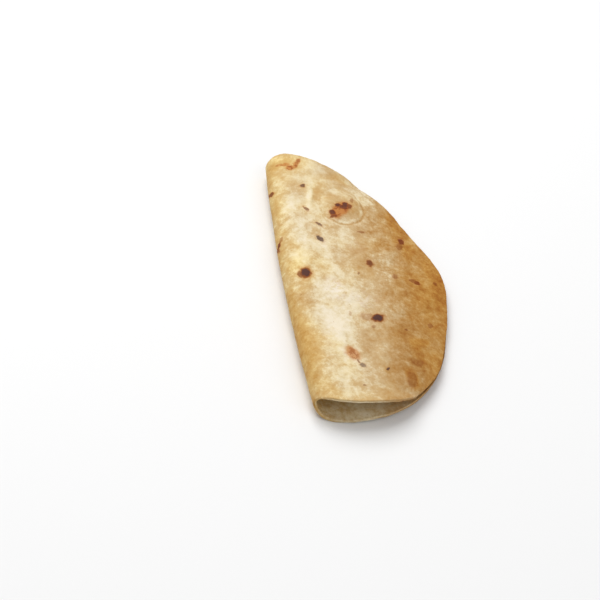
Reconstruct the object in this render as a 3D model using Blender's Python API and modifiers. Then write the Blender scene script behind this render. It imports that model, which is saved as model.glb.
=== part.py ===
"""A chapati: a thin round flatbread of unleavened wheat dough, folded once into a soft half-moon.

Metres, +Z up. The fold runs along Y with its round nose towards -X, and the two layers of the half-moon open
towards +X. The lower layer lies flat, the upper layer comes off the nose and sinks onto it at the rim, and a
tunnel is left open inside the nose. The origin is the middle of the box's underside.

The bread is one sheet. It starts as a flat round of dough with flat coordinates (across, along): across is
measured square to the fold line, negative on the layer that ends up below, and along follows the fold line.
"""

import math

import bpy
import numpy as np

# The round of dough, as rolled out
DISC_RADIUS = 0.0939
THICKNESS = 0.0022
RIM_ROUNDING = 0.0008
# How far the hand-rolled outline leaves a circle: lobes round the disc, share of the radius, turn in degrees.
# The first eight are alike on both halves, the last two shift one layer's rim against the other's.
OUTLINE_WAVES = (
    (2, 0.015, 180.0),
    (3, 0.0215, 90.0),
    (4, 0.019, 180.0),
    (5, 0.013, -90.0),
    (6, 0.012, 0.0),
    (7, 0.006, 90.0),
    (8, 0.007, 0.0),
    (9, 0.008, -90.0),
    (1, 0.006, 0.0),
    (7, 0.004, 20.0),
)
# Where the fold line meets the rim, the rim is drawn in: share of the radius, and angle to either side
FOLD_END_DEPTH = 0.06
FOLD_END_SPAN = math.radians(6)

# The fold
NOSE_HEIGHT = 0.0162
NOSE_BULGE = 0.0034
NOSE_BULGE_CENTRE = 0.019

# How the upper layer sinks from the nose to the rim. It needs some length past the nose to settle, so it still
# stands open at the two ends of the fold, where the rim is near. The ends start at END_ANGLE up the disc.
LAYER_GAP = 0.0007
SINK_POWER = 2.0
SETTLING_LENGTH = 0.018
END_ANGLE = math.radians(53)

# Soft waves in the rim, which lift both layers together
RIM_LIFT = 0.0022
RIM_LIFT_START = 0.62
RIM_LIFT_LOBES = 5
RIM_LIFT_TURN = math.radians(35)

# Large blisters on the upper layer: across, along, radius, height
BLISTERS = (
    (0.0420, 0.0510, 0.0125, 0.0011),
    (0.0560, -0.0220, 0.0090, 0.0007),
    (0.0220, -0.0500, 0.0100, 0.0006),
    (0.0180, 0.0140, 0.0110, 0.0006),
)

# The grid that the sheet is made of
ACROSS_STEPS = 48
ALONG_STEPS = 34
FOLD_CROWDING = 0.55

DOUGH_COLOUR = (0.64, 0.43, 0.21, 1.0)
DOUGH_ROUGHNESS = 0.75

QUADRATURE_POINTS, QUADRATURE_WEIGHTS = np.polynomial.legendre.leggauss(20)


def smooth_step(share):
    """0 to 1 with a level start and end."""
    share = np.clip(share, 0.0, 1.0)
    return share * share * (3.0 - 2.0 * share)


def integral(function, start, end):
    """The integral of function from start to end, for arrays of limits."""
    half = (end - start) / 2.0
    total = 0.0
    for point, weight in zip(QUADRATURE_POINTS, QUADRATURE_WEIGHTS):
        total = total + weight * half * function(start + half * (point + 1.0))
    return total


def bend_direction(share):
    """The sheet's direction in the XZ plane, as share runs from -1, before the nose, to 1, after it."""
    return math.pi * (1.0 - smooth_step((share + 1.0) / 2.0))


# Height and depth of a nose whose half length, along the sheet, is 1
NOSE_HEIGHT_SHARE = integral(lambda share: np.sin(bend_direction(share)), -1.0, 1.0)
NOSE_DEPTH_SHARE = -integral(lambda share: np.cos(bend_direction(share)), -1.0, 0.0)
# Half the length of sheet that is bent round the nose
HALF_BEND = NOSE_HEIGHT / NOSE_HEIGHT_SHARE


def outline(angle):
    """The disc's radius over DISC_RADIUS, at an angle from the middle of the upper half."""
    share = 1.0
    for lobes, size, turn in OUTLINE_WAVES:
        share = share + size * np.cos(lobes * angle + math.radians(turn))
    from_fold_line = np.abs(np.abs(angle) - math.pi / 2.0)
    return share * (1.0 - FOLD_END_DEPTH * np.exp(-((from_fold_line / FOLD_END_SPAN) ** 2)))


def rolled_out(column, row):
    """Flat (across, along) of a grid on the square from -1 to 1, stretched to the disc."""
    crowded = column * (FOLD_CROWDING + (1.0 - FOLD_CROWDING) * np.abs(column))
    across = crowded * np.sqrt(1.0 - row * row / 2.0)
    along = row * np.sqrt(1.0 - crowded * crowded / 2.0)
    distance = np.hypot(across, along)
    stretch = 1.0 + distance**2 * (outline(np.arctan2(along, across)) - 1.0)
    return across * stretch * DISC_RADIUS, along * stretch * DISC_RADIUS


def nose_x(along):
    """The line that the front of the nose follows, which bows outwards."""
    return -NOSE_BULGE * (1.0 - ((along - NOSE_BULGE_CENTRE) / DISC_RADIUS) ** 2)


def rim_reach(along):
    """How far the rim is from the fold line, across the sheet. Past END_ANGLE it stays what it is there."""
    angle = np.linspace(-END_ANGLE, END_ANGLE, 127)
    distance = DISC_RADIUS * outline(angle)
    return np.interp(along, distance * np.sin(angle), distance * np.cos(angle))


def settled_share(length):
    """The share of its full drop that the upper layer reaches at the rim, when it is this long past the nose."""
    longest = rim_reach(0.0) - HALF_BEND
    ease = math.hypot(longest, SETTLING_LENGTH) / longest
    return ease * length / np.hypot(length, SETTLING_LENGTH)


def fold(across, along):
    """Places flat points on the folded sheet's outer skin. It keeps lengths square to the fold."""
    start_x = nose_x(along) + NOSE_DEPTH_SHARE * HALF_BEND
    bent = np.clip(across, -HALF_BEND, HALF_BEND)
    x = start_x + integral(lambda at: np.cos(bend_direction(at / HALF_BEND)), -HALF_BEND, bent)
    z = integral(lambda at: np.sin(bend_direction(at / HALF_BEND)), -HALF_BEND, bent)

    before_nose = np.minimum(across + HALF_BEND, 0.0)
    x = x - before_nose

    full_drop = NOSE_HEIGHT - 2.0 * THICKNESS - LAYER_GAP
    length = rim_reach(along) - HALF_BEND
    steepness = full_drop * (settled_share(length) / length) ** SINK_POWER
    past_nose = np.clip(across - HALF_BEND, 0.0, 1.15 * length)

    def level_share(at):
        slope = SINK_POWER * steepness * at ** (SINK_POWER - 1.0)
        return np.sqrt(1.0 - slope * slope)

    z = z - steepness * past_nose**SINK_POWER
    x = x + integral(level_share, 0.0, past_nose)
    return x, z


def rim_lift(x, along):
    """The height by which the rim's soft waves lift the half-moon at a place seen from above."""
    distance = np.hypot(x, along) / DISC_RADIUS
    angle = np.arctan2(along, x)
    rise = np.clip((distance - RIM_LIFT_START) / (1.0 - RIM_LIFT_START), 0.0, 1.2) ** 2
    away_from_nose = smooth_step(x / (0.4 * DISC_RADIUS))
    return RIM_LIFT * rise * away_from_nose * (0.5 + 0.5 * np.sin(RIM_LIFT_LOBES * angle + RIM_LIFT_TURN))


def blister_rise(across, along):
    """The height of the large blisters."""
    rise = np.zeros_like(across)
    for centre_across, centre_along, radius, height in BLISTERS:
        distance = np.hypot(across - centre_across, along - centre_along) / radius
        rise = np.maximum(rise, height * smooth_step(1.6 * (1.0 - distance)))
    return rise


def make_sheet():
    """The outer skin: a grid primitive, stretched to the disc and folded."""
    bpy.ops.mesh.primitive_grid_add(x_subdivisions=ACROSS_STEPS, y_subdivisions=ALONG_STEPS, size=2.0)
    sheet = bpy.context.object
    sheet.name = sheet.data.name = "chapati"
    points = np.empty(len(sheet.data.vertices) * 3)
    sheet.data.vertices.foreach_get("co", points)
    points = points.reshape(-1, 3)
    across, along = rolled_out(points[:, 0], points[:, 1])
    x, z = fold(across, along)
    z = z + rim_lift(x, along)
    z = z + blister_rise(across, along)
    sheet.data.vertices.foreach_set("co", np.column_stack([x, along, z]).ravel())
    sheet.data.shade_smooth()
    return sheet


def thicken(sheet):
    """Gives the skin its thickness inwards, and rounds the rim."""
    solidify = sheet.modifiers.new("Thickness", "SOLIDIFY")
    solidify.thickness = THICKNESS
    solidify.offset = -1.0
    solidify.use_even_offset = True
    bevel = sheet.modifiers.new("Rounded rim", "BEVEL")
    bevel.width = RIM_ROUNDING
    bevel.segments = 2
    bevel.limit_method = "ANGLE"
    bevel.angle_limit = math.radians(50)


def stand_on_origin(sheet):
    """Moves the object so that the middle of its underside is the origin."""
    bpy.context.view_layer.update()
    evaluated = sheet.evaluated_get(bpy.context.evaluated_depsgraph_get())
    corners = np.array(evaluated.bound_box)
    low, high = corners.min(axis=0), corners.max(axis=0)
    sheet.location = (-(low[0] + high[0]) / 2.0, -(low[1] + high[1]) / 2.0, -low[2])


def dough_material():
    """Baked wheat dough, matt and straw-coloured."""
    material = bpy.data.materials.new("baked_dough")
    material.use_nodes = True
    shader = material.node_tree.nodes["Principled BSDF"]
    shader.inputs["Base Color"].default_value = DOUGH_COLOUR
    shader.inputs["Roughness"].default_value = DOUGH_ROUGHNESS
    shader.inputs["Metallic"].default_value = 0.0
    return material


def main():
    for leftover in list(bpy.data.objects):
        bpy.data.objects.remove(leftover)
    sheet = make_sheet()
    thicken(sheet)
    stand_on_origin(sheet)
    sheet.data.materials.append(dough_material())

    bread = bpy.data.collections.new("Chapati")
    bpy.context.scene.collection.children.link(bread)
    for holder in list(sheet.users_collection):
        holder.objects.unlink(sheet)
    bread.objects.link(sheet)


main()
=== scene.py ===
"""The looks of a folded chapati: its uneven skin, blisters and wrinkles, and its baked, spotted finish.

The bread is rolled out as a flat round and folded, as the frame's solid is, with the same named sizes. Flat
coordinates are (across, along): across is square to the fold line, negative on the layer that ends up below,
and along follows the fold line. Sizes in the lists below are in millimetres on the flat round.
"""

import math
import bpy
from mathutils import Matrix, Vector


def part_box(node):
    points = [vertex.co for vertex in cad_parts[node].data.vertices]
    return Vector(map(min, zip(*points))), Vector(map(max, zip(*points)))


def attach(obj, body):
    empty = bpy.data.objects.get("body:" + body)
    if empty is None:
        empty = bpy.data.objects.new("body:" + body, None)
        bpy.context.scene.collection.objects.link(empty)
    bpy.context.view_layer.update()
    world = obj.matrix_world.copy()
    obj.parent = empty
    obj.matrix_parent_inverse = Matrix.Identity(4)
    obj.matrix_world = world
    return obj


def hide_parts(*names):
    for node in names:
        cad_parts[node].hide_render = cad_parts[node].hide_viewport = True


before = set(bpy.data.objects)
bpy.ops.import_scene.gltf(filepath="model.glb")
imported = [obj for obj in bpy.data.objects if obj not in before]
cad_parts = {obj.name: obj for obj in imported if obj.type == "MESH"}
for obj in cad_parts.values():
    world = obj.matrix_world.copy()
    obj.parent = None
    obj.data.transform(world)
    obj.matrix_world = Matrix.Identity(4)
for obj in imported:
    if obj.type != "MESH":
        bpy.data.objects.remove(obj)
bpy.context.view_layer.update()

import bpy
import numpy as np
from bpy.props import FloatProperty, FloatVectorProperty, IntProperty, PointerProperty
from mathutils import Matrix, Vector, noise

bl_info = {
    "name": "Folded chapati",
    "version": (1, 0, 0),
    "blender": (4, 5, 0),
    "location": "3D View > Sidebar > Chapati",
    "description": "Makes a folded chapati with its baked finish, and a plain studio round it",
    "category": "Add Mesh",
}

MM = 0.001
NODE = "chapati"
BODY = "root"

# How far the hand-rolled outline leaves a circle: lobes round the disc, share of the radius, turn in degrees
OUTLINE_WAVES = (
    (2, 0.015, 180.0),
    (3, 0.0215, 90.0),
    (4, 0.019, 180.0),
    (5, 0.013, -90.0),
    (6, 0.012, 0.0),
    (7, 0.006, 90.0),
    (8, 0.007, 0.0),
    (9, 0.008, -90.0),
    (1, 0.006, 0.0),
    (7, 0.004, 20.0),
)
# Where the fold line meets the rim, the rim is drawn in: share of the radius, and angle to either side
FOLD_END_DEPTH = 0.06
FOLD_END_SPAN = math.radians(6)
END_ANGLE = math.radians(53)
RIM_LIFT_LOBES = 5
RIM_LIFT_TURN = math.radians(35)

# Blisters and wrinkles that stand up from the skin: across, along, length, width, turn in degrees, height
BLISTERS = (
    (42.5, 53.8, 30.0, 25.5, 84.0, 0.90),
    (25.0, 61.0, 25.0, 5.0, 86.0, 0.55),
    (56.0, -22.0, 18.0, 16.0, 20.0, 0.45),
    (22.0, -50.0, 24.0, 15.0, 80.0, 0.45),
    (18.0, 14.0, 26.0, 16.0, 80.0, 0.45),
    (64.0, 18.0, 16.0, 10.0, 60.0, 0.35),
    (33.0, -18.0, 17.0, 11.0, 10.0, 0.30),
    (47.0, -56.0, 15.0, 10.0, -30.0, 0.35),
    (-1.0, 24.0, 13.0, 6.0, 64.0, -0.55),
)
# The crease where the skin has sunk back round the edge of the first blister, and where on that edge it is
# deepest, in degrees
BLISTER_CREASE = 0.34
BLISTER_CREASE_TURN = math.radians(-50)

# Spots where the skin touched the hot pan: across, along, length, width, turn in degrees, then how much of
# them is scorched dark and how much is toasted orange-brown
SPOTS = (
    (21.8, 67.6, 2.8, 2.4, 60, 0.75, 0.6),
    (3.4, 65.0, 3.4, 2.2, 0, 0.35, 0.9),
    (0.6, 66.8, 6.5, 1.8, -40, 0.15, 0.8),
    (21.9, 49.2, 4.2, 1.7, -62, 0.50, 0.6),
    (27.4, 37.2, 4.4, 1.8, -48, 0.65, 0.4),
    (26.4, 25.6, 6.0, 3.4, -60, 0.92, 0.3),
    (39.8, 53.2, 3.4, 2.6, 10, 0.80, 1.0),
    (44.0, 53.8, 4.8, 3.0, 55, 0.80, 1.0),
    (43.0, 52.0, 2.6, 4.6, 70, 0.60, 1.0),
    (46.4, 53.0, 2.2, 3.4, -10, 0.35, 0.9),
    (36.2, 47.4, 3.6, 3.2, 50, 0.70, 1.0),
    (36.4, 44.2, 3.6, 2.2, 30, 0.30, 1.0),
    (48.7, 58.8, 3.8, 1.8, 72, 0.00, 0.5),
    (50.6, 33.6, 3.4, 1.5, 10, 0.06, 0.5),
    (2.9, 24.8, 3.4, 2.4, 50, 0.35, 1.0),
    (5.0, 27.4, 3.4, 1.9, 60, 0.00, 0.5),
    (0.6, 23.0, 5.6, 1.8, -48, 0.15, 0.8),
    (51.2, 9.2, 4.2, 3.0, 86, 0.32, 0.9),
    (73.8, 31.4, 4.8, 3.0, 66, 0.12, 1.0),
    (72.0, 27.0, 6.0, 3.0, 64, 0.00, 0.45),
    (14.8, -0.8, 6.4, 4.8, 80, 1.00, 1.0),
    (11.9, -1.6, 4.2, 2.6, 90, 0.25, 0.8),
    (64.1, 1.4, 3.0, 2.2, 62, 0.00, 0.5),
    (76.2, -1.2, 2.9, 2.0, 0, 0.05, 0.9),
    (74.2, 0.0, 3.4, 2.0, -15, 0.00, 0.6),
    (43.4, 0.7, 1.4, 1.2, 0, 0.35, 0.4),
    (47.6, -31.6, 6.8, 4.1, 32, 1.00, 1.0),
    (43.4, -30.8, 3.0, 2.8, 0, 0.00, 0.45),
    (41.0, -31.4, 4.8, 4.0, 0, 0.00, 0.36),
    (32.0, -65.6, 4.0, 3.0, -35, 0.62, 0.3),
    (30.2, -63.0, 2.2, 1.2, -60, 0.35, 0.6),
    (45.3, -66.4, 2.4, 1.5, 50, 1.00, 0.2),
    (33.2, -29.7, 2.6, 1.2, 80, 0.06, 0.3),
    (77.6, -30.6, 3.0, 2.0, 60, 0.00, 0.5),
    (61.8, -37.2, 1.5, 1.2, 0, 0.15, 0.5),
    (43.8, -37.8, 2.0, 1.2, 40, 0.10, 0.4),
    (30.0, -79.1, 1.4, 1.1, 0, 0.40, 0.3),
    (87.6, 1.0, 2.0, 1.4, 80, 0.08, 0.5),
    (57.5, -71.0, 8.0, 4.5, 76, 0.00, 0.40),
)

# Patches of popped, crumbling crust: across, along, length, width, turn in degrees, how brown
CRUSTS = (
    (16.2, 82.2, 4.2, 3.4, 20, 1.0),
    (13.8, 84.8, 4.8, 2.2, 0, 0.75),
    (10.6, 85.0, 4.0, 1.8, 0, 0.5),
    (19.5, 84.8, 5.6, 2.6, 70, 0.85),
    (21.3, 88.2, 4.0, 2.2, 60, 0.75),
    (40.8, 49.6, 14.5, 7.0, 52, 1.0),
    (28.6, -57.6, 8.6, 6.4, -75, 0.75),
    (29.4, -58.6, 5.4, 3.6, -75, 0.75),
)

# Broad stains where the crust is baked deeper or less deeply, and in the last two rows a painted highlight
# along a
# wrinkle with painted shade beside it: across, along, length, width, turn in degrees, how much darker, and
# how golden
STAINS_AND_PAINTED_LIGHT = (
    (58.0, -64.0, 36.0, 27.0, 62, 0.26, 0.0),
    (57.5, -71.0, 15.0, 7.0, 76, 0.20, 0.9),
    (65.0, -45.5, 11.0, 7.0, 80, 0.10, 0.6),
    (70.5, -43.0, 8.0, 5.0, 0, 0.16, 0.9),
    (87.0, 3.0, 34.0, 9.0, 86, 0.10, 0.8),
    (71.8, 49.5, 14.0, 6.0, 84, 0.16, 0.6),
    (76.0, 24.0, 20.0, 8.0, 70, 0.10, 0.6),
    (71.0, -8.0, 13.0, 8.0, 80, 0.02, -0.3),
    (63.0, -58.0, 9.0, 6.0, 10, 0.14, -0.8),
    (14.0, 88.0, 26.0, 12.0, 0, 0.10, 0.5),
    (3.0, -54.0, 50.0, 20.0, 90, 0.14, 0.4),
    (14.0, -14.0, 26.0, 13.0, 86, 0.24, 0.4),
    (12.5, 10.0, 18.0, 10.0, 90, -0.24, 0.0),
    (35.0, 38.0, 46.0, 10.0, 84, 0.14, 0.1),
    (77.0, 4.0, 36.0, 12.0, 84, -0.09, 0.0),
    (64.0, 8.0, 22.0, 12.0, 80, -0.13, 0.0),
    (48.0, 80.0, 20.0, 9.0, -30, -0.14, 0.0),
    (79.0, 35.0, 18.0, 9.0, 65, -0.22, 0.0),
    (68.0, -24.0, 24.0, 18.0, 80, 0.16, 0.1),
    (36.0, 13.0, 20.0, 10.0, 85, 0.15, 0.0),
    (41.0, 27.0, 22.0, 14.0, 60, -0.16, 0.0),
    (24.0, 32.0, 14.0, 10.0, 90, 0.12, 0.0),
    (23.0, -46.0, 36.0, 11.0, 88, -0.16, 0.0),
    (37.0, -60.0, 46.0, 12.0, 84, 0.14, -0.1),
    (43.0, 77.0, 16.0, 9.0, 0, 0.08, 0.5),
    (32.5, 65.0, 36.0, 12.0, 84, 0.08, 0.2),
    (15.0, 42.0, 64.0, 13.0, 92, -0.03, -0.1),
    (44.0, 60.0, 20.0, 10.0, -60, -0.14, 0.0),
    (55.0, 64.0, 20.0, 15.0, -40, -0.16, 0.0),
    (57.0, -42.0, 26.0, 16.0, 80, 0.20, 0.0),
    (35.0, 77.0, 16.0, 10.0, 0, 0.12, 0.1),
    (64.0, -35.0, 20.0, 10.0, 80, 0.14, 0.0),
    (12.0, 50.0, 14.0, 12.0, 90, -0.16, 0.0),
    (20.0, 66.0, 18.0, 14.0, 90, 0.14, 0.0),
    (4.0, 92.0, 20.0, 8.0, 0, -0.20, 0.0),
    (36.0, -84.0, 30.0, 12.0, 0, 0.14, 0.0),
    (36.0, -14.0, 34.0, 22.0, 60, -0.10, -0.2),
    # These two rows are painted light, not stains: a painted highlight along the wrinkle's ridge, and painted
    # shade to its right
    (25.2, 61.0, 26.0, 4.0, 86, -0.26, 0.0),
    (29.2, 61.0, 24.0, 4.0, 86, 0.14, 0.0),
)

# Dustings of dry flour: across, along, length, width, turn in degrees, how thick
DUSTINGS = (
    (28.0, -14.0, 20.0, 11.0, 84, 0.65),
    (37.0, -20.0, 24.0, 18.0, 20, 0.40),
    (44.0, 22.0, 16.0, 12.0, 30, 0.08),
    (20.0, -42.0, 30.0, 12.0, 70, 0.25),
)

# Spots on the faces that no list names: how far apart they are, and their least and greatest radius
SCATTER_SPACING = 24.0
SCATTER_SMALLEST = 0.5
SCATTER_LARGEST = 3.9
# How far the inner skin is taken from the marks in the lists, which are on the outer skin
FAR_AWAY = 900.0

QUADRATURE_POINTS, QUADRATURE_WEIGHTS = np.polynomial.legendre.leggauss(20)


def smooth_step(share):
    """0 to 1 with a level start and end."""
    share = np.clip(share, 0.0, 1.0)
    return share * share * (3.0 - 2.0 * share)


def integral(function, start, end):
    """The integral of function from start to end, for arrays of limits."""
    half = (end - start) / 2.0
    total = 0.0
    for point, weight in zip(QUADRATURE_POINTS, QUADRATURE_WEIGHTS):
        total = total + weight * half * function(start + half * (point + 1.0))
    return total


def bend_direction(share):
    """The sheet's direction in the XZ plane, as share runs from -1, before the nose, to 1, after it."""
    return math.pi * (1.0 - smooth_step((share + 1.0) / 2.0))


NOSE_HEIGHT_SHARE = integral(lambda share: np.sin(bend_direction(share)), -1.0, 1.0)
NOSE_DEPTH_SHARE = -integral(lambda share: np.cos(bend_direction(share)), -1.0, 0.0)


def outline(angle):
    """The disc's radius over its named radius, at an angle from the middle of the upper half."""
    share = 1.0
    for lobes, size, turn in OUTLINE_WAVES:
        share = share + size * np.cos(lobes * angle + math.radians(turn))
    from_fold_line = np.abs(np.abs(angle) - math.pi / 2.0)
    return share * (1.0 - FOLD_END_DEPTH * np.exp(-((from_fold_line / FOLD_END_SPAN) ** 2)))


def clouds(across, along, size, seed, octaves=3):
    """Smooth noise, about -1 to 1, over the flat round. size is in metres."""
    values = np.empty(len(across))
    for index, (s, t) in enumerate(zip(across / size, along / size)):
        values[index] = noise.fractal((s, t, 7.31 * seed), 0.9, 2.1, octaves)
    return values


def oval_place(across, along, oval):
    """Flat coordinates measured from an oval's middle in its half sizes. oval starts as SPOTS' rows do."""
    middle_across, middle_along, length, width, turn = oval[:5]
    c, s = math.cos(math.radians(turn)), math.sin(math.radians(turn))
    ahead = across - middle_across * MM
    aside = along - middle_along * MM
    return (c * ahead + s * aside) / (length * MM / 2.0), (c * aside - s * ahead) / (width * MM / 2.0)


class Folding:
    """The fold that the flat round is given, from the named sizes."""

    def __init__(self, sizes):
        self.sizes = sizes
        self.half_bend = sizes.nose_height / NOSE_HEIGHT_SHARE

    def rolled_out(self, column, row):
        """Flat (across, along) of a grid on the square from -1 to 1, stretched to the round."""
        sizes = self.sizes
        crowded = column * (sizes.fold_crowding + (1.0 - sizes.fold_crowding) * np.abs(column))
        across = crowded * np.sqrt(1.0 - row * row / 2.0)
        along = row * np.sqrt(1.0 - crowded * crowded / 2.0)
        distance = np.hypot(across, along)
        angle = np.arctan2(along, across)
        uneven = clouds(np.cos(angle), np.sin(angle), 0.16, 11, 4) * sizes.raggedness / sizes.disc_radius
        stretch = 1.0 + distance**2 * (outline(angle) - 1.0) + distance**8 * uneven
        return across * stretch * sizes.disc_radius, along * stretch * sizes.disc_radius

    def rim_reach(self, along):
        """How far the rim is from the fold line, across the sheet."""
        angle = np.linspace(-END_ANGLE, END_ANGLE, 127)
        distance = self.sizes.disc_radius * outline(angle)
        return np.interp(along, distance * np.sin(angle), distance * np.cos(angle))

    def settled_share(self, length):
        """The share of its full drop that the upper layer reaches at the rim."""
        longest = self.rim_reach(0.0) - self.half_bend
        settling = self.sizes.settling_length
        ease = math.hypot(longest, settling) / longest
        return ease * length / np.hypot(length, settling)

    def place(self, across, along):
        """Places flat points on the folded sheet's outer skin."""
        sizes, bend = self.sizes, self.half_bend
        nose_x = -sizes.nose_bulge * (1.0 - ((along - sizes.nose_bulge_centre) / sizes.disc_radius) ** 2)
        start_x = nose_x + NOSE_DEPTH_SHARE * bend
        bent = np.clip(across, -bend, bend)
        x = start_x + integral(lambda at: np.cos(bend_direction(at / bend)), -bend, bent)
        z = integral(lambda at: np.sin(bend_direction(at / bend)), -bend, bent)
        x = x - np.minimum(across + bend, 0.0)

        full_drop = sizes.nose_height - 2.0 * sizes.thickness - sizes.layer_gap
        length = self.rim_reach(along) - bend
        steepness = full_drop * (self.settled_share(length) / length) ** 2
        past_nose = np.clip(across - bend, 0.0, 1.15 * length)
        z = z - steepness * past_nose**2
        x = x + integral(lambda at: np.sqrt(1.0 - (2.0 * steepness * at) ** 2), 0.0, past_nose)
        return x, z + self.rim_lift(x, along)

    def rim_lift(self, x, along):
        """The height by which the rim's soft waves lift the half-moon."""
        radius = self.sizes.disc_radius
        distance = np.hypot(x, along) / radius
        angle = np.arctan2(along, x)
        start = self.sizes.rim_lift_start
        rise = np.clip((distance - start) / (1.0 - start), 0.0, 1.2) ** 2
        away_from_nose = smooth_step(x / (0.4 * radius))
        waves = 0.5 + 0.5 * np.sin(RIM_LIFT_LOBES * angle + RIM_LIFT_TURN)
        return self.sizes.rim_lift * rise * away_from_nose * waves

    def upper_share(self, across):
        """0 on the layer below, 1 on the layer above, with a soft change round the nose."""
        return smooth_step((across / self.half_bend + 1.0) / 2.0)

    def rim_distance(self, across, along):
        """How far a flat point is inside the rim."""
        angle = np.arctan2(along, across)
        return self.sizes.disc_radius * outline(angle) - np.hypot(across, along)


def blister_rise(across, along):
    """The height of the blisters and wrinkles, in metres."""
    wander = 0.10 * clouds(across, along, 6 * MM, 5, 2)
    rise = np.zeros_like(across)
    for index, blister in enumerate(BLISTERS):
        ahead, aside = oval_place(across, along, blister)
        distance = np.hypot(ahead, aside) + wander
        rise = np.maximum(rise, blister[5] * smooth_step(1.7 * (1.0 - distance)))
        if index == 0:
            turn = np.arctan2(along - blister[1] * MM, across - blister[0] * MM)
            facing = smooth_step(0.35 + np.cos(turn - BLISTER_CREASE_TURN))
            crease = BLISTER_CREASE * facing * np.exp(-(((distance - 1.0) / 0.075) ** 2))
    return (rise - crease) * MM


def spot_rise(across, along):
    """Scorched spots are the tops of small bubbles."""
    rise = np.zeros_like(across)
    for spot in SPOTS:
        ahead, aside = oval_place(across, along, spot)
        rise = np.maximum(rise, 0.10 * math.sqrt(spot[3]) * smooth_step(1.5 - np.hypot(ahead, aside)))
    for crust in CRUSTS:
        ahead, aside = oval_place(across, along, crust)
        broken = 0.5 + clouds(across, along, 1.6 * MM, 9, 2)
        rise = rise + 0.22 * crust[5] * broken * smooth_step(1.6 - 1.2 * np.hypot(ahead, aside))
    return rise * MM


def baking_and_painted_light(across, along):
    """What the lists of stains, painted light and dustings say of flat points: how much darker, how golden,
    how floury.
    """
    across = across + 4 * MM * clouds(across, along, 15 * MM, 31, 1)
    along = along + 4 * MM * clouds(across, along, 15 * MM, 32, 1)
    deeper, gilded, floured = (np.zeros_like(across) for _ in range(3))
    for mark in STAINS_AND_PAINTED_LIGHT:
        inside = smooth_step(1.3 - np.hypot(*oval_place(across, along, mark)))
        deeper = deeper + inside * mark[5]
        gilded = gilded + inside * mark[6]
    for dust in DUSTINGS:
        floured = np.maximum(floured, dust[5] * smooth_step(1.2 - np.hypot(*oval_place(across, along, dust))))
    return {"deeper": deeper, "gilded": gilded, "floured": floured}


def skin_relief(folding, across, along):
    """How far the skin stands out of the smooth sheet, in metres."""
    sizes = folding.sizes
    rim = folding.rim_distance(across, along)
    upper = folding.upper_share(across)
    settled = smooth_step(rim / (16 * MM))
    waves = sizes.undulation * (0.35 + clouds(across, along, 33 * MM, 1))
    puffs = 0.55 * sizes.undulation * np.maximum(clouds(across, along, 11 * MM, 2), -0.2)
    bubbles = clouds(across, along, 4.6 * MM, 3, 2) + 0.55 * clouds(across, along, 2.3 * MM, 4, 2)
    pimples = sizes.pimples * bubbles
    above = settled * (waves + puffs) + pimples + blister_rise(across, along) + spot_rise(across, along)
    below = -0.5 * settled * np.abs(puffs) - np.abs(pimples)
    return upper * above + (1.0 - upper) * below


def sheet_thickness(folding, across, along):
    """The share of the full thickness that the sheet has. It thins towards the rim, and is uneven."""
    rim = folding.rim_distance(across, along)
    share = 0.74 + 0.26 * smooth_step(rim / (9 * MM))
    return np.clip(share + 0.07 * clouds(across, along, 8 * MM, 12, 2), 0.6, 1.0)


def flat_points(mesh):
    """A mesh's vertices as rows of coordinates."""
    points = np.empty(len(mesh.vertices) * 3)
    mesh.vertices.foreach_get("co", points)
    return points.reshape(-1, 3)


def set_points(mesh, points):
    """Moves a mesh's vertices to rows of coordinates."""
    mesh.vertices.foreach_set("co", points.ravel())
    mesh.update()


def store(mesh, name, kind, values):
    """Keeps values, one for each vertex, as a named attribute."""
    field = "vector" if kind == "FLOAT_VECTOR" else "value"
    layer = mesh.attributes.get(name) or mesh.attributes.new(name, kind, "POINT")
    layer.data.foreach_set(field, np.asarray(values, dtype=np.float32).ravel())


def rolled_sheet(sizes):
    """The outer skin: a grid, stretched to the round, folded, and set where the frame's solid is."""
    bpy.ops.mesh.primitive_grid_add(
        x_subdivisions=sizes.across_steps, y_subdivisions=sizes.along_steps, size=2.0
    )
    sheet = bpy.context.object
    sheet.name = sheet.data.name = "rolled_sheet"
    folding = Folding(sizes)
    grid = flat_points(sheet.data)
    across, along = folding.rolled_out(grid[:, 0], grid[:, 1])
    x, z = folding.place(across, along)
    smooth = np.column_stack([x, along, z])
    low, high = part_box(NODE)
    solid_middle = (low + high) / 2.0
    middle = (smooth.min(axis=0) + smooth.max(axis=0)) / 2.0
    smooth += (solid_middle.x - middle[0], solid_middle.y - middle[1], low.z - smooth[:, 2].min())
    set_points(sheet.data, smooth)

    normals = np.empty(len(smooth) * 3)
    sheet.data.vertices.foreach_get("normal", normals)
    relief = skin_relief(folding, across, along)
    uneven = smooth + relief[:, None] * normals.reshape(-1, 3)
    uneven[:, 2] = np.maximum(uneven[:, 2], low.z)
    set_points(sheet.data, uneven)

    store(sheet.data, "flat_place", "FLOAT_VECTOR", np.column_stack([across, along, 0.0 * across]) / MM)
    store(sheet.data, "rim_distance", "FLOAT", folding.rim_distance(across, along) / MM)
    for name, values in baking_and_painted_light(across, along).items():
        store(sheet.data, name, "FLOAT", values)
    thick = sheet.vertex_groups.new(name="thickness")
    for index, share in enumerate(sheet_thickness(folding, across, along)):
        thick.add([index], share, "REPLACE")
    sheet.vertex_groups.new(name="inner_skin")
    return sheet


def thicken(sheet, sizes):
    """Gives the skin its thickness inwards, and rounds the rim."""
    solidify = sheet.modifiers.new("Thickness", "SOLIDIFY")
    solidify.thickness = sizes.thickness
    solidify.offset = -1.0
    solidify.use_even_offset = True
    solidify.vertex_group = "thickness"
    solidify.shell_vertex_group = "inner_skin"
    bevel = sheet.modifiers.new("Rounded rim", "BEVEL")
    bevel.width = sizes.rim_rounding
    bevel.segments = 2
    bevel.limit_method = "ANGLE"
    bevel.angle_limit = math.radians(50)


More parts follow.
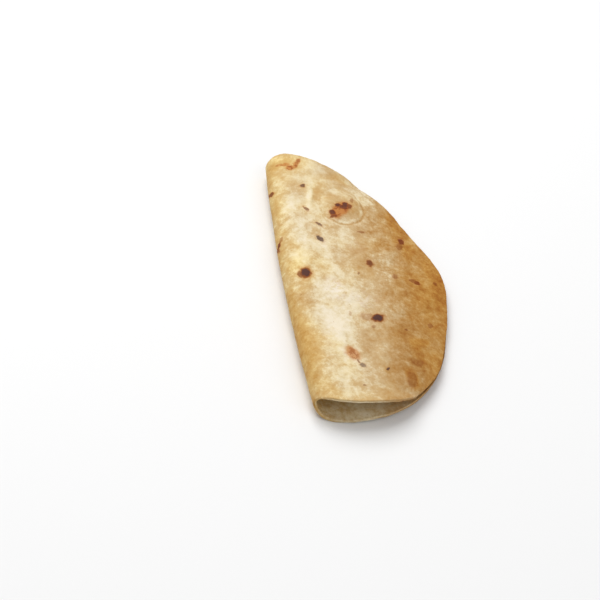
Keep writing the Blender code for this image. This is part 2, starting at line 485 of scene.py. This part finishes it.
def finished_mesh(sheet, name):
    """The sheet with its modifiers applied, as an object of its own. The sheet itself is removed."""
    depsgraph = bpy.context.evaluated_depsgraph_get()
    evaluated = sheet.evaluated_get(depsgraph)
    mesh = bpy.data.meshes.new_from_object(evaluated, preserve_all_data_layers=True, depsgraph=depsgraph)
    bread = bpy.data.objects.new(name, mesh)
    bpy.context.scene.collection.objects.link(bread)
    group = sheet.vertex_groups["inner_skin"].index
    inner = np.zeros(len(mesh.vertices))
    for vertex in mesh.vertices:
        for element in vertex.groups:
            if element.group == group:
                inner[vertex.index] = element.weight
    bread.vertex_groups.clear()
    store(mesh, "inside", "FLOAT", inner)
    bpy.data.objects.remove(sheet)
    mesh.name = name
    mesh.shade_smooth()
    return bread


class Value:
    """A socket of a node tree that Python expressions can use. An expression adds its Math nodes."""

    def __init__(self, finish, socket):
        self.finish = finish
        self.socket = socket

    def output(self, name):
        """Another output of the same node."""
        return Value(self.finish, self.socket.node.outputs[name])

    def math(self, operation, *values):
        return self.finish.node("ShaderNodeMath", {"operation": operation}, dict(enumerate(values)))

    def __add__(self, other):
        return self.math("ADD", self, other)

    __radd__ = __add__

    def __sub__(self, other):
        return self.math("SUBTRACT", self, other)

    def __rsub__(self, other):
        return self.math("SUBTRACT", other, self)

    def __mul__(self, other):
        return self.math("MULTIPLY", self, other)

    __rmul__ = __mul__

    def __truediv__(self, other):
        return self.math("DIVIDE", self, other)

    def __rtruediv__(self, other):
        return self.math("DIVIDE", other, self)

    def most(self, other):
        """The greater of this value and the other."""
        return self.math("MAXIMUM", self, other)

    def size(self):
        """This value without its sign."""
        return self.math("ABSOLUTE", self)

    def step(self, start, end):
        """0 before start, 1 after end, with a soft change between. start may be the greater of the two."""
        settings = {"interpolation_type": "SMOOTHSTEP"}
        sockets = {"Value": self, "From Min": start, "From Max": end}
        return self.finish.node("ShaderNodeMapRange", settings, sockets)


class Finish:
    """A material whose nodes are added by expressions."""

    def __init__(self, name):
        self.material = bpy.data.materials.new(name)
        self.material.use_nodes = True
        self.tree = self.material.node_tree
        self.surface = self.tree.nodes["Principled BSDF"]

    def node(self, kind, settings=None, sockets=None, output=0):
        """Adds a node with its settings, then the values or links of its sockets, and gives one output."""
        node = self.tree.nodes.new(kind)
        for name, value in (settings or {}).items():
            if name == "stops":
                self.set_stops(node.color_ramp, value)
            else:
                setattr(node, name, value)
        for name, value in (sockets or {}).items():
            self.feed(node.inputs[name], value)
        return Value(self, node.outputs[output])

    def feed(self, socket, value):
        """Links a value to a socket, or sets the socket."""
        if isinstance(value, Value):
            self.tree.links.new(value.socket, socket)
        else:
            socket.default_value = value

    @staticmethod
    def set_stops(ramp, stops):
        """Gives a colour ramp its stops, as pairs of place and colour."""
        while len(ramp.elements) < len(stops):
            ramp.elements.new(1.0)
        for element, (place, tint) in zip(ramp.elements, stops):
            element.position = place
            element.color = (*tint, 1.0)

    def attribute(self, name, output):
        return self.node("ShaderNodeAttribute", {"attribute_name": name}, output=output)

    def noise(self, place, size, seed, detail=2.0, roughness=0.55, output=0):
        """Noise from 0 to 1 with features of about this size."""
        settings = {"noise_dimensions": "4D"}
        sockets = {
            "Vector": place,
            "W": 3.7 * seed,
            "Scale": 1.0 / size,
            "Detail": detail,
            "Roughness": roughness,
        }
        return self.node("ShaderNodeTexNoise", settings, sockets, output)

    def spread(self, place, size, seed, **how):
        """Noise from about -1 to 1."""
        return (self.noise(place, size, seed, **how) - 0.5) * 3.2

    def shifted(self, place, offset):
        return self.node("ShaderNodeVectorMath", {"operation": "ADD"}, {0: place, 1: offset})

    def stretched(self, place, factors):
        return self.node("ShaderNodeVectorMath", {"operation": "MULTIPLY"}, {0: place, 1: factors})

    def mix(self, share, first, second, blend="MIX"):
        """A colour that goes from the first to the second as share goes from 0 to 1."""
        settings = {"data_type": "RGBA", "blend_type": blend}
        return self.node("ShaderNodeMix", settings, {0: share, 6: first, 7: second}, output=2)

    def distance(self, place, oval):
        """0 in the middle of an oval, 1 at its edge. oval starts as SPOTS' rows do."""
        middle_across, middle_along, length, width, turn = oval[:5]
        sockets = {
            "Vector": place,
            "Location": (middle_across, middle_along, 0.0),
            "Rotation": (0.0, 0.0, math.radians(turn)),
            "Scale": (length / 2.0, width / 2.0, 1.0),
        }
        local = self.node("ShaderNodeMapping", {"vector_type": "TEXTURE"}, sockets)
        return self.node("ShaderNodeVectorMath", {"operation": "LENGTH"}, {0: local}, output="Value")


def scattered_spots(finish, place):
    """Spots for the faces that no list names. 0 in a spot's middle, 1 at its edge."""
    sockets = {"Vector": place, "Scale": 1.0 / SCATTER_SPACING}
    cells = finish.node("ShaderNodeTexVoronoi", {"voronoi_dimensions": "2D"}, sockets)
    own = finish.node("ShaderNodeSeparateColor", sockets={0: cells.output("Color")})
    radius = own * own * (SCATTER_LARGEST - SCATTER_SMALLEST) + SCATTER_SMALLEST
    return cells * SCATTER_SPACING / radius


def baked_dough(colours):
    """The baked wheat skin: cream to golden, with mottled patches, scorched spots, flecks of bran and some
    painted shade.

    Lengths are in millimetres on the flat round, as in the lists."""
    finish = Finish("baked_dough")
    flat = finish.attribute("flat_place", "Vector")
    inner = finish.attribute("inside", "Fac").step(0.4, 0.6)
    rim = finish.attribute("rim_distance", "Fac")
    aside = finish.node("ShaderNodeCombineXYZ", sockets={0: inner * 31.0, 1: inner * 17.0, 2: inner * 40.0})
    place = finish.shifted(flat, aside)
    parts = finish.node("ShaderNodeSeparateXYZ", sockets={0: flat})
    across, along = parts.output("X"), parts.output("Y")
    outer = 1.0 - inner
    reach = across.size()
    shown = outer * across.step(-8.0, -3.0)

    wander = finish.noise(place, 2.6, 21, detail=3.0, output="Color")
    wander = finish.stretched(finish.shifted(wander, (-0.5, -0.5, -0.5)), (3.2, 3.2, 0.0))
    crooked = finish.shifted(place, wander)
    # The lists name marks on the outer skin, so for them the inner skin is taken far away
    away = finish.node("ShaderNodeCombineXYZ", sockets={2: inner * FAR_AWAY})
    listed = finish.shifted(crooked, away)

    # How dark each place is painted, 0 cream and 1 toasted: mostly how deeply it is baked, with painted shade
    # near the fold and in the large blister's crease, and painted highlight and shade on the crease's ridge
    # and on one wrinkle
    broad = finish.spread(place, 42.0, 1, detail=1.0)
    patches = finish.spread(place, 19.0, 2, detail=1.0)
    mottle = finish.spread(place, 17.0, 3, detail=5.0, roughness=0.82)
    specks = finish.spread(place, 4.2, 4, detail=3.0, roughness=0.75)
    grain = finish.spread(place, 1.6, 5, detail=1.0)
    # Near the fold the skin is painted darker and more golden: partly toasting, partly painted shade on the
    # fold's rounded flank, darkest at the fold
    near_fold = reach.step(21.0, 1.0)
    far_side = reach.step(46.0, 62.0)
    darkness = 0.06 + near_fold * 0.25
    darkness = darkness + reach.step(28.0, 52.0) * 0.32 + reach.step(50.0, 80.0) * 0.37
    darkness = darkness - along.step(52.0, 72.0) * reach.step(46.0, 60.0) * 0.30
    darkness = darkness + finish.attribute("deeper", "Fac") * outer
    golden = near_fold * 0.9 + reach.step(56.0, 80.0) * 0.7 + finish.attribute("gilded", "Fac") * outer
    uneven = broad * 0.03 + patches * 0.03 + mottle * 0.36 + specks * 0.28
    strength = 1.0 + near_fold * 0.2 + far_side * 0.65 - along.step(38.0, 60.0) * 0.25
    darkness = darkness + uneven * strength + rim.step(2.6, 0.4) * 0.06

    # Painted shade and painted highlight round the large blister: its crease is painted as a thin darker line
    # of shade, with a paler ridge of painted highlight inside it, both strongest on the lower right, the side
    # turned from the key light
    drift = finish.noise(place, 15.0, 22, detail=1.0, output="Color")
    drift = finish.stretched(finish.shifted(drift, (-0.5, -0.5, -0.5)), (2.0, 2.0, 0.0))
    blister = finish.distance(finish.shifted(listed, drift), BLISTERS[0])
    facing = (across - along).step(-16.0, -2.0) * 0.75 + 0.25
    darkness = darkness + (blister - 1.0).size().step(0.07, 0.0) * facing * 0.24
    darkness = darkness - (blister - 0.87).size().step(0.10, 0.0) * facing * 0.14

    skin_stops = (
        (0.0, colours.palest),
        (0.13, colours.cream),
        (0.28, colours.pale),
        (0.46, colours.straw),
        (0.64, colours.golden),
        (0.82, colours.toasted),
        (1.0, colours.browned),
    )
    skin = finish.node("ShaderNodeValToRGB", {"stops": skin_stops}, {0: darkness * 0.72 + 0.10})
    golden = golden + broad * 0.25 + patches * 0.45 + mottle * 0.5
    tint = finish.mix(golden.step(-0.3, 1.3), (0.875, 0.832, 0.812, 1.0), (1.0, 0.905, 0.62, 1.0))
    skin = finish.mix(1.0, skin, tint, blend="MULTIPLY")
    powder = (mottle * 0.4 + specks * 0.6 + grain * 1.0 + 0.5).step(0.1, 0.9)
    skin = finish.mix(powder * finish.attribute("floured", "Fac") * outer, skin, (*colours.flour, 1.0))

    # Scorched spots, each with a toasted edge and a golden halo
    scattered = scattered_spots(finish, crooked) + shown * 9.0
    halo = scattered.step(2.2, 0.9) * 0.8
    toast = scattered.step(1.45, 1.0) * 0.8
    scorch = scattered.step(1.1, 0.6) * 0.8
    for spot in SPOTS:
        distance = finish.distance(listed, spot)
        halo = halo.most(distance.step(2.2, 0.9) * spot[6])
        toast = toast.most(distance.step(1.45, 1.0) * spot[6])
        if spot[5] > 0.0:
            scorch = scorch.most(distance.step(1.08, 0.72) * spot[5])

    # Patches of crumbling crust
    crumble = finish.noise(place, 2.2, 8, detail=2.0, roughness=0.7).step(0.46, 0.56)
    crust = crumbs = None
    for patch in CRUSTS:
        distance = finish.distance(listed, patch)
        halo = halo.most(distance.step(1.7, 0.9) * patch[5])
        here = distance.step(1.3, 0.8) * patch[5]
        crumbling = distance.step(1.3, 0.5) * crumble * patch[5]
        crust = here if crust is None else crust.most(here)
        crumbs = crumbling if crumbs is None else crumbs.most(crumbling)
    skin = finish.mix(halo * 0.75, skin, (*colours.halo, 1.0), blend="MULTIPLY")
    skin = finish.mix(crust * 0.8, skin, (*colours.crust, 1.0))
    skin = finish.mix(toast, skin, (*colours.ring, 1.0), blend="MULTIPLY")
    skin = finish.mix(crumbs * 0.95, skin, (*colours.crumb, 1.0))
    skin = finish.mix(scorch * (0.9 + grain * 0.1), skin, (*colours.scorched, 1.0))

    # Flecks of bran and of dry flour
    sockets = {"Vector": crooked, "Scale": 1.0 / 3.4}
    cells = finish.node("ShaderNodeTexVoronoi", {"voronoi_dimensions": "3D"}, sockets)
    kept = finish.node("ShaderNodeSeparateColor", sockets={0: cells.output("Color")})
    fleck = cells.step(0.13, 0.05) * kept.step(0.62, 0.72)
    skin = finish.mix(fleck * 0.45, skin, (*colours.bran, 1.0))

    surface = finish.surface.inputs
    finish.feed(surface["Base Color"], skin)
    finish.feed(surface["Roughness"], 0.62 + specks * 0.06 + scorch * 0.1)
    surface["Specular IOR Level"].default_value = 0.14

    height = specks * 0.16 + grain * 0.06
    sockets = {"Height": height, "Strength": 0.5, "Distance": MM}
    finish.feed(surface["Normal"], finish.node("ShaderNodeBump", sockets=sockets))
    return finish.material


class BreadSizes(bpy.types.PropertyGroup):
    disc_radius: FloatProperty(
        name="Disc radius", description="Radius of the round of dough", default=0.0939, unit="LENGTH"
    )
    thickness: FloatProperty(
        name="Thickness", description="Thickness of the baked sheet", default=0.0022, unit="LENGTH"
    )
    rim_rounding: FloatProperty(
        name="Rim rounding", description="How far the rim is rounded", default=0.0006, unit="LENGTH"
    )
    raggedness: FloatProperty(
        name="Raggedness", description="How far the rim wanders in and out", default=0.0005, unit="LENGTH"
    )
    nose_height: FloatProperty(
        name="Fold height", description="Outer height of the rounded fold", default=0.0162, unit="LENGTH"
    )
    nose_bulge: FloatProperty(
        name="Fold bulge", description="How far the fold bows outwards", default=0.0034, unit="LENGTH"
    )
    nose_bulge_centre: FloatProperty(
        name="Fold bulge centre",
        description="Where along the fold it bows most",
        default=0.019,
        unit="LENGTH",
    )
    layer_gap: FloatProperty(
        name="Layer gap", description="Gap between the two layers at the rim", default=0.0007, unit="LENGTH"
    )
    settling_length: FloatProperty(
        name="Settling length",
        description="Length that the upper layer needs to settle on the lower one",
        default=0.018,
        unit="LENGTH",
    )
    rim_lift: FloatProperty(
        name="Rim lift", description="Height of the soft waves in the rim", default=0.0022, unit="LENGTH"
    )
    rim_lift_start: FloatProperty(
        name="Rim lift start", description="Share of the radius where the waves begin", default=0.62
    )
    fold_crowding: FloatProperty(
        name="Grid crowding", description="How wide the grid's steps are at the fold", default=0.75
    )
    across_steps: IntProperty(name="Steps across", description="Grid steps square to the fold", default=232)
    along_steps: IntProperty(name="Steps along", description="Grid steps along the fold", default=188)
    undulation: FloatProperty(
        name="Undulation", description="Height of the sheet's soft unevenness", default=0.00060, unit="LENGTH"
    )
    pimples: FloatProperty(
        name="Pimples", description="Height of the skin's small bubbles", default=0.00016, unit="LENGTH"
    )


def colour(name, description, value):
    return FloatVectorProperty(
        name=name, description=description, default=value, subtype="COLOR", size=3, min=0.0, max=1.0
    )


class BreadColours(bpy.types.PropertyGroup):
    palest: colour("Palest", "The palest, flouriest dough", (0.90, 0.83, 0.64))
    cream: colour("Cream", "Pale, barely baked dough", (0.81, 0.71, 0.47))
    pale: colour("Pale straw", "Lightly baked dough", (0.650, 0.483, 0.256))
    straw: colour("Straw", "Baked dough", (0.537, 0.336, 0.136))
    golden: colour("Golden", "Well baked dough", (0.453, 0.243, 0.070))
    toasted: colour("Toasted", "Toasted dough", (0.377, 0.170, 0.037))
    browned: colour("Browned", "The deepest baked skin", (0.30, 0.105, 0.020))
    flour: colour("Flour", "Dry flour", (0.84, 0.76, 0.66))
    halo: colour("Halo", "How a spot tints the skin round it", (0.80, 0.52, 0.30))
    ring: colour("Ring", "How a spot's toasted edge tints the skin", (0.50, 0.28, 0.15))
    crust: colour("Crust", "Popped crust", (0.50, 0.190, 0.044))
    crumb: colour("Crumb", "Crumbs of popped crust", (0.32, 0.092, 0.020))
    scorched: colour("Scorched", "Scorched spots", (0.070, 0.032, 0.030))
    bran: colour("Bran", "Flecks of bran", (0.36, 0.19, 0.07))


class StudioSettings(bpy.types.PropertyGroup):
    azimuth: FloatProperty(
        name="Azimuth",
        description="Direction the camera looks from",
        default=math.radians(-16.245),
        subtype="ANGLE",
    )
    elevation: FloatProperty(
        name="Elevation",
        description="Height of the camera's view",
        default=math.radians(43.825),
        subtype="ANGLE",
    )
    roll: FloatProperty(
        name="Roll", description="Roll of the camera", default=math.radians(11.988), subtype="ANGLE"
    )
    distance: FloatProperty(
        name="Distance", description="Distance from the camera to its aim", default=0.8665, unit="LENGTH"
    )
    aim: FloatVectorProperty(
        name="Aim",
        description="The point in the middle of the picture",
        default=(-0.0368, -0.0150, 0.008),
        subtype="TRANSLATION",
        unit="LENGTH",
    )
    focal_length: FloatProperty(
        name="Focal length", description="Of the camera's lens, in mm", default=100.65
    )
    floor: colour("Floor", "The plain floor", (0.86, 0.86, 0.86))
    key_power: FloatProperty(name="Key light", description="Power of the large overhead light", default=22.0)
    fill_power: FloatProperty(name="Fill light", description="Power of the soft fill light", default=4.0)
    sky: FloatProperty(name="Surroundings", description="Brightness of the surroundings", default=0.42)


def looking_from(azimuth, elevation, roll=0.0):
    """The rotation of something that looks at the bread. Azimuth 0 looks along +Y."""
    back = Vector(
        (
            math.sin(azimuth) * math.cos(elevation),
            -math.cos(azimuth) * math.cos(elevation),
            math.sin(elevation),
        )
    )
    right = Vector((math.cos(azimuth), math.sin(azimuth), 0.0))
    up = back.cross(right)
    turned = Matrix((right, up, back)).transposed()
    return turned @ Matrix.Rotation(roll, 3, "Z")


def place_looking(item, target, distance, rotation):
    """Puts a camera or a light at this distance from the target, turned towards it."""
    item.matrix_world = Matrix.Translation(target + rotation.col[2] * distance) @ rotation.to_4x4()


def soft_light(name, size, power, target, distance, azimuth, elevation):
    """A square area light that faces the target."""
    lamp = bpy.data.lights.new(name, "AREA")
    lamp.shape = "SQUARE"
    lamp.size = size
    lamp.energy = power
    light = bpy.data.objects.new(name, lamp)
    bpy.context.scene.collection.objects.link(light)
    place_looking(light, target, distance, looking_from(math.radians(azimuth), math.radians(elevation)))
    return light


class CHAPATI_OT_bread(bpy.types.Operator):
    """Rolls out the round, folds it, and gives it its uneven skin and its baked finish"""

    bl_idname = "chapati.bread"
    bl_label = "Folded chapati"

    def execute(self, context):
        sizes = context.scene.chapati_sizes
        sheet = rolled_sheet(sizes)
        thicken(sheet, sizes)
        bread = finished_mesh(sheet, "folded_bread")
        bread.data.materials.clear()
        bread.data.materials.append(baked_dough(context.scene.chapati_colours))
        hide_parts(NODE)
        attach(bread, BODY)
        return {"FINISHED"}


class CHAPATI_OT_studio(bpy.types.Operator):
    """Adds the plain floor, the soft lights and the camera"""

    bl_idname = "chapati.studio"
    bl_label = "Studio"

    def execute(self, context):
        settings = context.scene.chapati_studio
        aim = Vector(settings.aim)

        bpy.ops.mesh.primitive_plane_add(size=6.0)
        floor = context.object
        floor.name = "floor"
        finish = Finish("plain_floor")
        finish.feed(finish.surface.inputs["Base Color"], (*settings.floor, 1.0))
        finish.feed(finish.surface.inputs["Roughness"], 0.9)
        floor.data.materials.append(finish.material)

        soft_light("key_light", 1.2, settings.key_power, Vector((0.0, 0.0, 0.0)), 1.6, -152.0, 60.0)
        soft_light("fill_light", 1.2, settings.fill_power, Vector((0.0, 0.0, 0.0)), 1.6, 40.0, 50.0)

        world = bpy.data.worlds.new("surroundings")
        world.use_nodes = True
        sky = world.node_tree.nodes["Background"]
        sky.inputs["Color"].default_value = (1.0, 1.0, 1.0, 1.0)
        sky.inputs["Strength"].default_value = settings.sky
        context.scene.world = world
        context.scene.view_settings.view_transform = "Standard"

        camera = bpy.data.objects.new("camera", bpy.data.cameras.new("camera"))
        camera.data.lens = settings.focal_length
        camera.data.clip_start = 0.01
        context.scene.collection.objects.link(camera)
        rotation = looking_from(settings.azimuth, settings.elevation, settings.roll)
        place_looking(camera, aim, settings.distance, rotation)
        context.scene.camera = camera
        return {"FINISHED"}


class CHAPATI_PT_panel(bpy.types.Panel):
    """Lists the operators and their settings"""

    bl_label = "Folded chapati"
    bl_idname = "CHAPATI_PT_panel"
    bl_space_type = "VIEW_3D"
    bl_region_type = "UI"
    bl_category = "Chapati"

    def draw(self, context):
        layout = self.layout
        for operator, group in OPERATOR_SETTINGS:
            box = layout.box()
            box.operator(operator)
            for name in group:
                settings = getattr(context.scene, name)
                for prop in type(settings).bl_rna.properties:
                    if prop.identifier not in ("rna_type", "name"):
                        box.prop(settings, prop.identifier)


OPERATOR_SETTINGS = (
    ("chapati.bread", ("chapati_sizes", "chapati_colours")),
    ("chapati.studio", ("chapati_studio",)),
)
SCENE_SETTINGS = {
    "chapati_sizes": BreadSizes,
    "chapati_colours": BreadColours,
    "chapati_studio": StudioSettings,
}
CLASSES = (*SCENE_SETTINGS.values(), CHAPATI_OT_bread, CHAPATI_OT_studio, CHAPATI_PT_panel)


def register():
    for item in CLASSES:
        bpy.utils.register_class(item)
    for name, group in SCENE_SETTINGS.items():
        setattr(bpy.types.Scene, name, PointerProperty(type=group))


def unregister():
    for name in SCENE_SETTINGS:
        delattr(bpy.types.Scene, name)
    for item in reversed(CLASSES):
        bpy.utils.unregister_class(item)


def main():
    register()
    bpy.ops.chapati.bread()
    bpy.ops.chapati.studio()
    bpy.context.view_layer.update()


if __name__ == "__main__":
    main()
